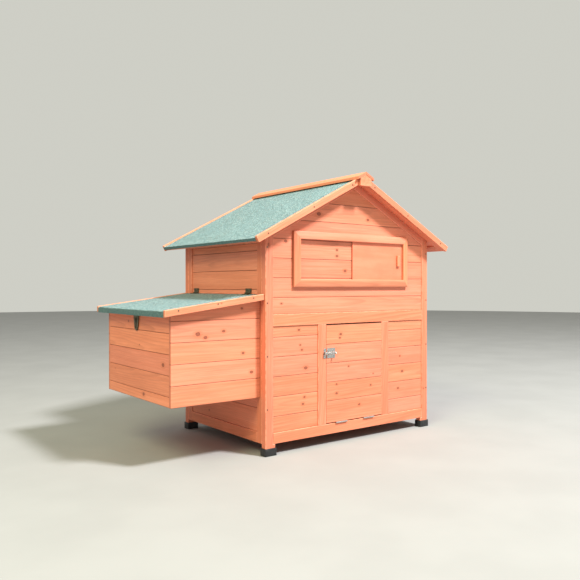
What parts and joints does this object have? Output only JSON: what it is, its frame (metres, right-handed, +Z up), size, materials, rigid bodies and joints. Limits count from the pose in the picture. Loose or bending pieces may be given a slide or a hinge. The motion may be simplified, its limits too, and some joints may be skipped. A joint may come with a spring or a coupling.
{
  "type": "chicken coop",
  "caption": "Gabled wooden hen house on four posts, with a felted roof, a lidded nest box at its side, a drop-down door and a sliding window panel.",
  "frame": {"origin": "on the ground under the middle of the coop's whole box, nest box and roof overhangs included", "axes": "+Z up, -Y towards the front wall with the door and window, -X towards the nest box"},
  "size_m": [1.3262, 0.73, 1.051],
  "materials": {
    "framing_wood": "orange-brown stain on fir, satin",
    "board_wood": "orange-brown stain on knotty fir, satin",
    "trim_wood": "orange-brown stain on fir, satin, paler edges",
    "plywood": "stained plywood, smooth",
    "roof_felt": "green mineral granules on bitumen felt, matte",
    "foot_plastic": "black, slightly rough",
    "bronze_hardware": "antique bronze plating, dull",
    "zinc_hardware": "bright zinc plating",
    "wire_mesh": "galvanised wire"
  },
  "bodies": {
    "house": {"back_boards": "board_wood", "back_rails": "framing_wood", "barge_boards_back": "trim_wood", "barge_boards_front": "trim_wood", "bolt_keeper": "zinc_hardware", "door_hinge_rail_leaves": "zinc_hardware", "floor_bearers": "framing_wood", "floor_panel": "plywood", "foot_caps": "foot_plastic", "frame_screws": "zinc_hardware", "front_bottom_rail": "framing_wood", "front_left_boards": "board_wood", "front_middle_rail": "framing_wood", "front_rake_rails": "framing_wood", "front_right_boards": "board_wood", "front_stiles": "framing_wood", "front_upper_boards": "board_wood", "hasp_staple": "bronze_hardware", "hinge_pins": "zinc_hardware", "left_boards": "board_wood", "left_frame": "framing_wood", "leg_back_left": "framing_wood", "leg_back_right": "framing_wood", "leg_front_left": "framing_wood", "leg_front_right": "framing_wood", "lid_hinge_wall_leaves": "bronze_hardware", "nest_corner_battens": "framing_wood", "nest_divider": "plywood", "nest_floor": "plywood", "nest_outer_boards": "board_wood", "nest_side_boards": "board_wood", "perch": "framing_wood", "perch_holders": "framing_wood", "ridge_cap": "trim_wood", "ridge_end_blocks": "trim_wood", "right_boards": "board_wood", "right_frame": "framing_wood", "roof_battens": "framing_wood", "roof_deck_left": "plywood", "roof_deck_right": "plywood", "roof_felt_left": "roof_felt", "roof_felt_right": "roof_felt", "window_frame": "trim_wood", "window_mesh": "wire_mesh"},
    "nest_lid": {"lid_deck": "plywood", "lid_edge_batten": "framing_wood", "lid_felt_cover": "roof_felt", "lid_end_trims": "trim_wood", "lid_hinge_leaves": "bronze_hardware", "hasp_leaf": "bronze_hardware", "lid_screws": "zinc_hardware"},
    "hasp": {"hasp_strap": "bronze_hardware"},
    "door": {"door_boards": "board_wood", "door_battens": "framing_wood", "door_hinge_leaves": "zinc_hardware", "bolt_barrel_plate": "zinc_hardware"},
    "door_bolt": {"bolt_rod": "zinc_hardware"},
    "window_slider": {"window_panel": "plywood", "window_panel_grip": "plywood"}
  },
  "joints": [
    {"name": "nest_lid_hinge", "type": "hinge", "parent": "house", "child": "nest_lid", "pos_m": [-0.27135, 0, 0.58285], "axis": [0, 1, 0], "range_deg": [0, 73]},
    {"name": "hasp_hinge", "type": "hinge", "parent": "nest_lid", "child": "hasp", "pos_m": [-0.6325, 0, 0.5072], "axis": [0, 1, 0], "range_deg": [0, 82]},
    {"name": "door_hinge", "type": "hinge", "parent": "house", "child": "door", "pos_m": [0.1595, -0.301, 0.0816], "axis": [1, 0, 0], "range_deg": [0, 101]},
    {"name": "bolt_slide", "type": "slide", "parent": "door", "child": "door_bolt", "axis": [-1, 0, 0], "range_m": [0, 0.015]},
    {"name": "window_slide", "type": "slide", "parent": "house", "child": "window_slider", "axis": [-1, 0, 0], "range_m": [0, 0.26]}
  ]
}
